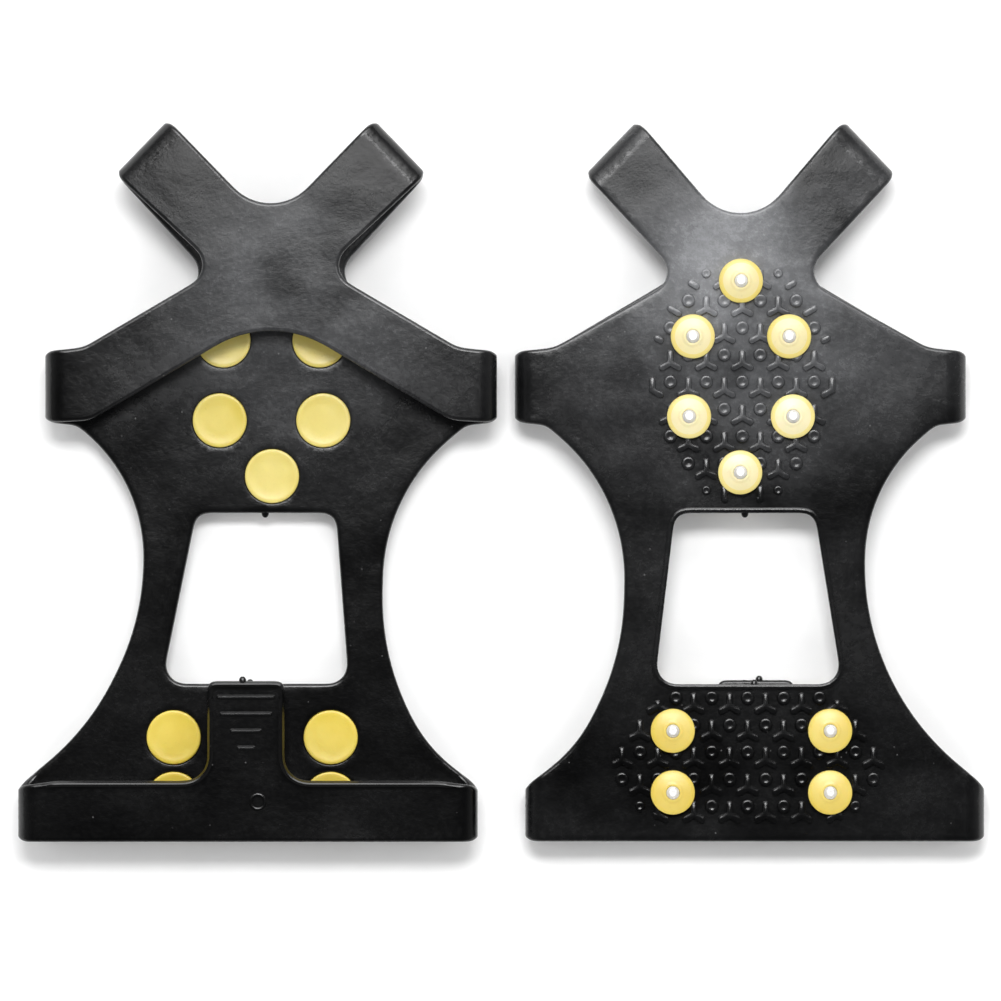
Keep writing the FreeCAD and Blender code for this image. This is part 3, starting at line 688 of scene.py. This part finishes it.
def make_strap(cleat, part, seams, top):
    """A strap as one sheet, with its arms bent down to the sole and, on the heel strap, its details."""
    folds = strap_folds(cleat, part, seams, top)
    half = cleat.thick / 2
    level = top - half
    sheet = Sheet()
    plan = closed_outline(strap_outline(cleat, part, folds, level))
    profile = rounded_profile(-half, half)
    shares = [0.0] * (len(profile) - 1) + [1.0]
    for k in range(1, BEAD_STEPS + 1):
        turn = math.pi / 2 * k / BEAD_STEPS
        profile.append((EDGE_ROUND + BEAD_WIDTH * k / BEAD_STEPS, half))
        shares.append(math.cos(turn) ** 2)
    shares[-BEAD_STEPS - 2] = BEAD_SHOULDER
    lower, upper = sheet.wall(*plan, profile, (shares, BEAD_HEIGHT * bead_mask(part, plan[0], folds)))
    sheet.fill([upper], half, True)
    sheet.fill([lower], -half, False)
    if part == "heel_strap":
        add_heel_details(sheet, plan[0], half)
    points = np.array(sheet.points)
    flat = np.ones(len(points), bool)
    for fold in folds:
        flat &= ~fold.bend(points)
    points[flat, 2] += level
    name = f"{cleat.side}_rubber_{part}"
    piece = finish_mesh(name, cleat, points, sheet.faces)
    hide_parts(f"{cleat.side}_{part}")
    ends = cleat.row([(0, 0, cleat.high), (0, 0, top - cleat.thick)]) * MM
    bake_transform(piece)
    return piece


def bead_mask(part, points, folds):
    """Where a strap has a bead along its edge: the heel strap's front edge and round its tab."""
    if part == "instep_strap":
        return np.zeros(len(points))
    rear = points[:, 1].min()
    mask = np.clip((points[:, 1] - rear - BEAD_BAND) / BEAD_FADE, 0, 1)
    for fold in folds:
        mask *= np.clip(-fold.depth(points) / BEAD_FOLD_FADE, 0, 1)
    return mask


def add_heel_details(sheet, outline, half):
    """Ridges across the pull tab, a plain ring on the band and a gate mark on the tab's end."""
    middle, end = tab_of(outline)
    for share, width in RIDGES:
        add_ridge(sheet, (middle, end - share), width, half)
    add_ring_mark(sheet, (middle + MARK_SIDE, end - MARK_DEPTH), half)
    add_nub(sheet, (middle - TAB_NUB_SHIFT, end), 1, 0.0, half)


def tab_of(points):
    """The middle of the pull tab's end, from the strap's outline."""
    end = points[:, 1].max()
    near = points[points[:, 1] > end - TAB_REACH]
    return (near[:, 0].min() + near[:, 0].max()) / 2, end


def add_ridge(sheet, centre, width, level):
    """A low rounded bar across the tab."""
    start = np.array(centre) - (width / 2 - RIDGE_HALF, 0)
    end = np.array(centre) + (width / 2 - RIDGE_HALF, 0)
    rings = []
    for grow, height in RIDGE_PROFILE:
        rings.append(sheet.ring(bar_outline(start, end, RIDGE_HALF + grow), level + height))
    for lower, upper in zip(rings, rings[1:]):
        sheet.bridge(lower, upper)
    sheet.faces += [tuple(rings[-1]), tuple(reversed(rings[0]))]


def add_ring_mark(sheet, centre, level):
    """A plain raised ring."""
    rings = []
    for radius, height in MARK_PROFILE:
        rings.append(sheet.ring(circle(centre, radius, MARK_POINTS)[0], level + height))
    for lower, upper in zip(rings, rings[1:] + rings[:1]):
        sheet.bridge(lower, upper)


# ---------------------------------------------------------------- studs
def turned(name, cleat, centre, profile, count=TURNED_POINTS):
    """A closed solid turned about a vertical axis from (radius, height) pairs, both ends on the axis."""
    sheet = Sheet()
    rings = [sheet.ring(circle(centre, radius, count)[0], height) for radius, height in profile[1:-1]]
    for lower, upper in zip(rings, rings[1:]):
        sheet.bridge(lower, upper)
    for (_, height), ring in ((profile[0], rings[0]), (profile[-1], rings[-1])):
        tip = sheet.ring([centre], height)[0]
        sheet.faces += [(ring[i], ring[(i + 1) % count], tip) for i in range(count)]
    return finish_mesh(name, cleat, sheet.points, sheet.faces)


def rounded_corner(centre_radius, centre_height, radius, first, last, steps=5):
    """Points of a turned profile round a corner, between two angles in degrees."""
    angles = np.radians(np.linspace(first, last, steps))
    return [(centre_radius + radius * math.cos(a), centre_height + radius * math.sin(a)) for a in angles]


def make_plug(cleat, index):
    """A stud plug: dished disc, neck in the rubber, and a flange with a groove round the pin."""
    node = f"{cleat.side}_stud_plug_{index}"
    centre = cleat.place(f"stud_plug_{index}")
    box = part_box(node)
    disc = (box[1].x - box[0].x) / 2 / MM
    top = cleat.heights(f"stud_plug_{index}")[1]
    face = cleat.low - FLANGE_HEIGHT
    bed = cleat.high - RECESS_DEPTH
    profile = [(0, top - DISH_DEPTH), (disc / 2, top - DISH_DEPTH + DISH_STEP)]
    profile += [(disc - DISH_RIM - DISH_SLOPE, top - DISH_DEPTH + 2 * DISH_STEP)]
    profile += [(disc - DISH_RIM, top - DISH_STEP)]
    profile += rounded_corner(disc - PLUG_ROUND, top - PLUG_ROUND, PLUG_ROUND, 90, 0)
    profile += [(disc, bed), (NECK_RADIUS, bed), (NECK_RADIUS, cleat.low), (FLANGE_RADIUS, cleat.low)]
    profile += rounded_corner(FLANGE_RADIUS - PLUG_ROUND, face + FLANGE_SIDE, PLUG_ROUND, 0, -50)
    profile += [(radius, face + height) for radius, height in FLANGE_TOP]
    profile += [(PIN_RADIUS + PIN_GAP, face + PIN_BED), (0, face + PIN_BED)]
    piece = turned(f"{cleat.side}_yellow_plug_{index}", cleat, centre, profile)
    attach(piece, f"{cleat.side}_sole")
    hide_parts(node)
    return piece


def make_pin(cleat, index):
    """A steel pin with a blunt tip and rounded shoulders."""
    node = f"{cleat.side}_stud_pin_{index}"
    centre = cleat.place(f"stud_pin_{index}")
    low, high = cleat.heights(f"stud_pin_{index}")
    profile = [(0, low + TIP_DISH), (0.5, low + TIP_DISH / 2)]
    profile += rounded_corner(TIP_RADIUS, low + TIP_ROUND, TIP_ROUND, -90, -30)
    profile += [(PIN_RADIUS - 0.18, low + SHOULDER_HEIGHT - 0.2)]
    profile += rounded_corner(PIN_RADIUS - SHOULDER_ROUND, low + SHOULDER_HEIGHT, SHOULDER_ROUND, -30, 0, 3)
    profile += [(PIN_RADIUS, high - PIN_CHAMFER), (PIN_RADIUS - PIN_CHAMFER, high), (0, high)]
    piece = turned(f"{cleat.side}_steel_pin_{index}", cleat, centre, profile, PIN_POINTS)
    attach(piece, f"{cleat.side}_sole")
    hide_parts(node)
    return piece


# ---------------------------------------------------------------- materials
def shader(name):
    """A new material, its node tree and its Principled BSDF."""
    material = bpy.data.materials.new(name)
    material.use_nodes = True
    tree = material.node_tree
    return material, tree, tree.nodes["Principled BSDF"]


def node(tree, kind, **values):
    """A new node with its own settings and unlinked inputs set by name."""
    made = tree.nodes.new(kind)
    for name, value in values.items():
        if hasattr(made, name):
            setattr(made, name, value)
        else:
            made.inputs[name.replace("_", " ")].default_value = value
    return made


def mapped(tree, coordinates, **values):
    """Coordinates that are moved, turned or scaled."""
    made = node(tree, "ShaderNodeMapping", **values)
    tree.links.new(coordinates, made.inputs["Vector"])
    return made.outputs["Vector"]


def add_bump_map(tree, surface, height, strength, distance, below=None):
    """Small relief on a surface, over any relief below it. Returns its normal."""
    made = node(tree, "ShaderNodeBump", Strength=strength, Distance=distance)
    tree.links.new(height, made.inputs["Height"])
    if below:
        tree.links.new(below, made.inputs["Normal"])
    tree.links.new(made.outputs["Normal"], surface.inputs["Normal"])
    return made.outputs["Normal"]


def noise_of(tree, coordinates, scale, detail=3.0, roughness=0.55):
    """Noise between 0 and 1 at some coordinates."""
    made = node(tree, "ShaderNodeTexNoise", Scale=scale, Detail=detail, Roughness=roughness)
    tree.links.new(coordinates, made.inputs["Vector"])
    return made.outputs["Fac"]


def ramp(tree, value, stops):
    """A colour ramp from (place, colour) stops. A single number stands for a grey."""
    made = tree.nodes.new("ShaderNodeValToRGB")
    elements = made.color_ramp.elements
    while len(elements) < len(stops):
        elements.new(0.5)
    for element, (place, colour) in zip(elements, stops):
        element.position = place
        element.color = (*colour, 1) if isinstance(colour, tuple) else (colour, colour, colour, 1)
    tree.links.new(value, made.inputs["Fac"])
    return made.outputs["Color"]


def mix(tree, kind, share, a, b):
    """Mixes two colours. Each input is a socket, a colour or a number."""
    made = tree.nodes.new("ShaderNodeMix")
    made.data_type, made.blend_type = "RGBA", kind
    for socket, value in ((made.inputs[0], share), (made.inputs[6], a), (made.inputs[7], b)):
        if isinstance(value, bpy.types.NodeSocket):
            tree.links.new(value, socket)
        else:
            socket.default_value = value if socket.type == "VALUE" else (*value, 1)
    return made.outputs[2]


def rubber_material(name, seed, centre, strength):
    """Satin black rubber: grey dust with a painted sheen, thickest round the middle of the X, mottling,
    specks and scuffs.
    """
    material, tree, surface = shader(name)
    where = node(tree, "ShaderNodeTexCoord").outputs["Object"]
    place = mapped(tree, where, Location=(seed * 0.37, seed * 0.11, seed * 0.05))
    broad_patches = noise_of(tree, place, 26, 3, 0.5)
    mottle = noise_of(tree, place, 620, 4, 0.65)

    # the grey dust and the painted sheen fade outwards from the middle of the X
    round_middle = mapped(
        tree, where, Location=(-centre.x / DUST_AND_SHEEN_REACH, -centre.y / DUST_AND_SHEEN_REACH, 0),
        Scale=(1 / DUST_AND_SHEEN_REACH, 1 / DUST_AND_SHEEN_REACH, 1))
    spread = node(tree, "ShaderNodeTexGradient", gradient_type="SPHERICAL")
    tree.links.new(round_middle, spread.inputs["Vector"])
    fade = [(0.0, 0.02), (0.3, 0.04), (0.55, 0.14), (0.75, 0.45), (0.95, 1.0)]
    dust_and_sheen_fade = ramp(tree, spread.outputs["Fac"], fade)
    # grey dust and a painted sheen: a grey of the given strength over the black, by the fade times the
    # broad patches
    dust_and_sheen = mix(tree, "MULTIPLY", 1.0, dust_and_sheen_fade, ramp(tree, broad_patches, [(0.34, 0.12), (0.64, 1.0)]))
    base = mix(tree, "MIX", dust_and_sheen, RUBBER_BLACK, (strength, strength * 1.02, strength * 1.07))
    # paler spots, only where the grey dust and painted sheen lie
    spots = mix(tree, "MULTIPLY", 1.0, ramp(tree, mottle, [(0.45, 0.0), (0.8, 0.35)]), dust_and_sheen)
    base = mix(tree, "MIX", spots, base, (strength * 2.2, strength * 2.25, strength * 2.35))

    # long scuffs and a few pale specks
    stretched = mapped(tree, place, Rotation=(0, 0, 0.5), Scale=(420, 55, 120))
    scuff = noise_of(tree, stretched, 1.0, 5, 0.7)
    base = mix(tree, "MIX", ramp(tree, scuff, [(0.66, 0.0), (0.82, 0.22)]), base, (0.05, 0.05, 0.055))
    specks = node(tree, "ShaderNodeTexVoronoi", Scale=300.0)
    tree.links.new(place, specks.inputs["Vector"])
    near = ramp(tree, specks.outputs["Distance"], [(0.05, 1.0), (0.1, 0.0)])
    rare = ramp(tree, noise_of(tree, place, 90, 2), [(0.56, 0.0), (0.64, 0.5)])
    base = mix(tree, "MIX", mix(tree, "MULTIPLY", 1.0, near, rare), base, (0.18, 0.18, 0.18))
    tree.links.new(base, surface.inputs["Base Color"])

    broad_gloss = ramp(tree, broad_patches, [(0.3, 0.17), (0.7, 0.27)])
    fine_gloss = ramp(tree, mottle, [(0.3, 0.0), (0.8, 0.06)])
    tree.links.new(mix(tree, "ADD", 1.0, broad_gloss, fine_gloss), surface.inputs["Roughness"])
    surface.inputs["IOR"].default_value = 1.4
    fine = add_bump_map(tree, surface, mottle, 0.35, 0.0002)
    add_bump_map(tree, surface, noise_of(tree, place, 50, 2, 0.4), 1.0, 0.0007, fine)
    return material


def plastic_material(name, dark, light, rough):
    """Satin moulded plastic, a little translucent, with soft tones, flow marks and fine scratches."""
    material, tree, surface = shader(name)
    where = node(tree, "ShaderNodeTexCoord").outputs["Object"]
    tone = noise_of(tree, where, 38, 2, 0.5)
    grain = noise_of(tree, where, 900, 3, 0.6)
    flow = noise_of(tree, where, 240, 3, 0.6)
    base = ramp(tree, tone, [(0.35, dark), (0.65, light)])
    base = mix(tree, "SOFT_LIGHT", ramp(tree, flow, [(0.35, 0.15), (0.75, 0.4)]), base, (0.75, 0.72, 0.6))
    darker = tuple(c * 0.72 for c in dark)
    base = mix(tree, "MIX", ramp(tree, grain, [(0.62, 0.0), (0.8, 0.35)]), base, darker)
    tree.links.new(base, surface.inputs["Base Color"])
    tree.links.new(ramp(tree, flow, [(0.3, rough), (0.7, rough + 0.14)]), surface.inputs["Roughness"])
    surface.inputs["Subsurface Weight"].default_value = 0.2
    surface.inputs["Subsurface Radius"].default_value = (1.0, 0.6, 0.2)
    surface.inputs["Subsurface Scale"].default_value = 0.0012
    add_bump_map(tree, surface, grain, 0.15, 0.0001)
    return material


def steel_material(name):
    """Bright plated steel with fine turning marks and a few dull patches."""
    material, tree, surface = shader(name)
    where = node(tree, "ShaderNodeTexCoord").outputs["Object"]
    wear = noise_of(tree, where, 600, 4, 0.6)
    grain = noise_of(tree, where, 2600, 3, 0.6)
    colour = ramp(tree, wear, [(0.4, (0.93, 0.92, 0.9)), (0.72, (0.75, 0.74, 0.72))])
    tree.links.new(colour, surface.inputs["Base Color"])
    tree.links.new(ramp(tree, wear, [(0.35, 0.35), (0.7, 0.55)]), surface.inputs["Roughness"])
    surface.inputs["Metallic"].default_value = 0.5
    add_bump_map(tree, surface, grain, 0.2, 0.00008)
    return material


def floor_material():
    """Pale matt floor."""
    material, tree, surface = shader("pale_floor")
    where = node(tree, "ShaderNodeTexCoord").outputs["Object"]
    colour = ramp(tree, noise_of(tree, where, 60, 3), [(0.3, 0.92), (0.7, 0.95)])
    tree.links.new(colour, surface.inputs["Base Color"])
    surface.inputs["Roughness"].default_value = 0.8
    return material


# ---------------------------------------------------------------- scene
def build_cleat(side, rubber, plastics, steel):
    """One cleat: its sole, its two straps, and a plug and a pin for each stud."""
    cleat = Cleat(side)
    loops = cleat.cut("sole", cleat.low + cleat.thick / 2)
    lines = [(line, straight(line)) for line in split_at_corners(loops[0])]
    seams = [line for line, is_seam in lines if is_seam]
    heel_y = cleat.place("stud_plug_7")[1]
    front = [seam for seam in seams if seam[:, 1].mean() > 0]
    back = [seam for seam in seams if seam[:, 1].mean() < heel_y]
    band_top = cleat.heights("heel_strap")[1] - RIDGE_HEIGHT
    pieces = [
        make_sole(cleat, lines, loops[1]),
        make_strap(cleat, "instep_strap", front, cleat.top),
        make_strap(cleat, "heel_strap", back, band_top),
    ]
    for piece in pieces:
        piece.data.materials.append(rubber)
    for index in STUDS:
        plug = make_plug(cleat, index)
        for material in plastics["forefoot" if index in FOREFOOT_STUDS else "heel"]:
            plug.data.materials.append(material)
        paint_flange(cleat, plug)
        make_pin(cleat, index).data.materials.append(steel)


def paint_flange(cleat, plug):
    """The second material on the faces below the plate, and the third one on the flange's rim."""
    # on the forefoot plugs the pale flange material is partly a painted highlight and partly the plastic's
    # own paler tone
    plate = cleat.row([(0, 0, cleat.low + 1)])[0][2] * MM
    middle = sum((vertex.co for vertex in plug.data.vertices), Vector()) / len(plug.data.vertices)
    for face in plug.data.polygons:
        below = (face.center.z < plate) == (cleat.turn > 0)
        rim = (face.center - middle).xy.length > (FLANGE_FACE - 0.2) * MM
        face.material_index = int(below) + int(below and rim)


def add_floor():
    data = bpy.data.meshes.new("floor")
    corners = [(x * FLOOR_HALF, y * FLOOR_HALF, 0) for x, y in ((-1, -1), (1, -1), (1, 1), (-1, 1))]
    data.from_pydata(corners, [], [(0, 1, 2, 3)])
    data.materials.append(floor_material())
    floor = bpy.data.objects.new("floor", data)
    floor.location.z = -FLOOR_DROP
    bpy.context.scene.collection.objects.link(floor)


def add_light(name, place, target, size, power, diffuse=True, glossy=True):
    """A soft lamp that the camera doesn't see, for the diffuse light, the gloss or both."""
    data = bpy.data.lights.new(name, "AREA")
    data.shape, data.size, data.size_y, data.energy = "RECTANGLE", size[0], size[1], power
    light = bpy.data.objects.new(name, data)
    light.location = place
    light.rotation_euler = (Vector(target) - Vector(place)).to_track_quat("-Z", "Y").to_euler()
    light.visible_camera, light.visible_diffuse, light.visible_glossy = False, diffuse, glossy
    bpy.context.scene.collection.objects.link(light)


def add_lights():
    """A dim ceiling and bright low surroundings, so that the rubber stays black, with a soft sheen."""
    world = bpy.data.worlds.new("studio")
    world.use_nodes = True
    tree = world.node_tree
    where = node(tree, "ShaderNodeTexCoord").outputs["Generated"]
    split = tree.nodes.new("ShaderNodeSeparateXYZ")
    tree.links.new(where, split.inputs[0])
    sky = ramp(tree, split.outputs["Z"], [(0.0, 0.4), (0.35, 0.3), (0.7, 0.08), (0.92, 0.02)])
    tree.links.new(sky, tree.nodes["Background"].inputs["Color"])
    tree.nodes["Background"].inputs["Strength"].default_value = 1.0
    bpy.context.scene.world = world
    add_light("toe_key", (0.0, 0.75, 1.6), (0, 0, 0), (0.9, 0.4), 22)
    add_light("heel_fill", (0.0, -1.3, 0.8), (0, 0, 0), (2.2, 0.7), 12, glossy=False)
    add_light("toe_fill", (0.0, 1.3, 0.8), (0, 0, 0), (2.2, 0.7), 11)
    add_light("left_fill", (-1.3, 0.1, 0.9), (0, 0, 0), (0.7, 1.8), 8, glossy=False)
    add_light("right_fill", (1.3, 0.1, 0.9), (0, 0, 0), (0.7, 1.8), 8, glossy=False)
    add_light("sheen", (0.0, 0.12, 0.33), (0, 0.08, 0), (0.26, 0.07), 0.28, diffuse=False)
    add_light("edges", (0.0, 1.15, 1.25), (0, 0, 0), (1.8, 0.8), 27, diffuse=False)


def add_camera():
    """Straight above the pair and far enough up for a flat look."""
    data = bpy.data.cameras.new("camera")
    data.sensor_width = 36.0
    data.lens = data.sensor_width * (CAMERA_PLACE[2] - VIEW_LEVEL) / VIEW_WIDTH
    data.clip_start, data.clip_end = 0.1, 20
    camera = bpy.data.objects.new("camera", data)
    camera.location = CAMERA_PLACE
    bpy.context.scene.collection.objects.link(camera)
    bpy.context.scene.camera = camera


bpy.context.scene.view_settings.view_transform = "Standard"
middles = {}
for side in ("left", "right"):
    low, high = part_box(f"{side}_stud_plug_1")
    middles[side] = (low + high) / 2
# each cleat's rubber has a painted sheen round the middle of its X, stronger on the right cleat than on the
# left and moved sideways on the left
rubbers = {
    "left": rubber_material("rubber_left", 1, middles["left"] + Vector((DUST_AND_SHEEN_SHIFT, 0, 0)), 0.085),
    "right": rubber_material("rubber_right", 2, middles["right"], 0.22),
}
# each list holds the disc side, the flange face and the flange rim
# painted light and shade: the forefoot plugs are a paler yellow than the heel plugs, and their flange faces
# paler still
plastics = {
    "forefoot": [
        plastic_material("stud_plastic_front", (0.53, 0.42, 0.075), (0.6, 0.5, 0.15), 0.32),
        plastic_material("stud_plastic_pale", (0.66, 0.57, 0.29), (0.73, 0.66, 0.42), 0.34),
        plastic_material("stud_plastic_rim", (0.66, 0.53, 0.14), (0.74, 0.63, 0.25), 0.34),
    ],
    "heel": [
        plastic_material("stud_plastic_heel", (0.64, 0.48, 0.06), (0.7, 0.55, 0.11), 0.32),
        plastic_material("stud_plastic_warm", (0.62, 0.46, 0.09), (0.69, 0.55, 0.16), 0.34),
        plastic_material("stud_plastic_warm_rim", (0.64, 0.47, 0.07), (0.71, 0.56, 0.14), 0.34),
    ],
}
steel = steel_material("stud_steel")
for side, rubber in rubbers.items():
    build_cleat(side, rubber, plastics, steel)
add_floor()
add_lights()
add_camera()
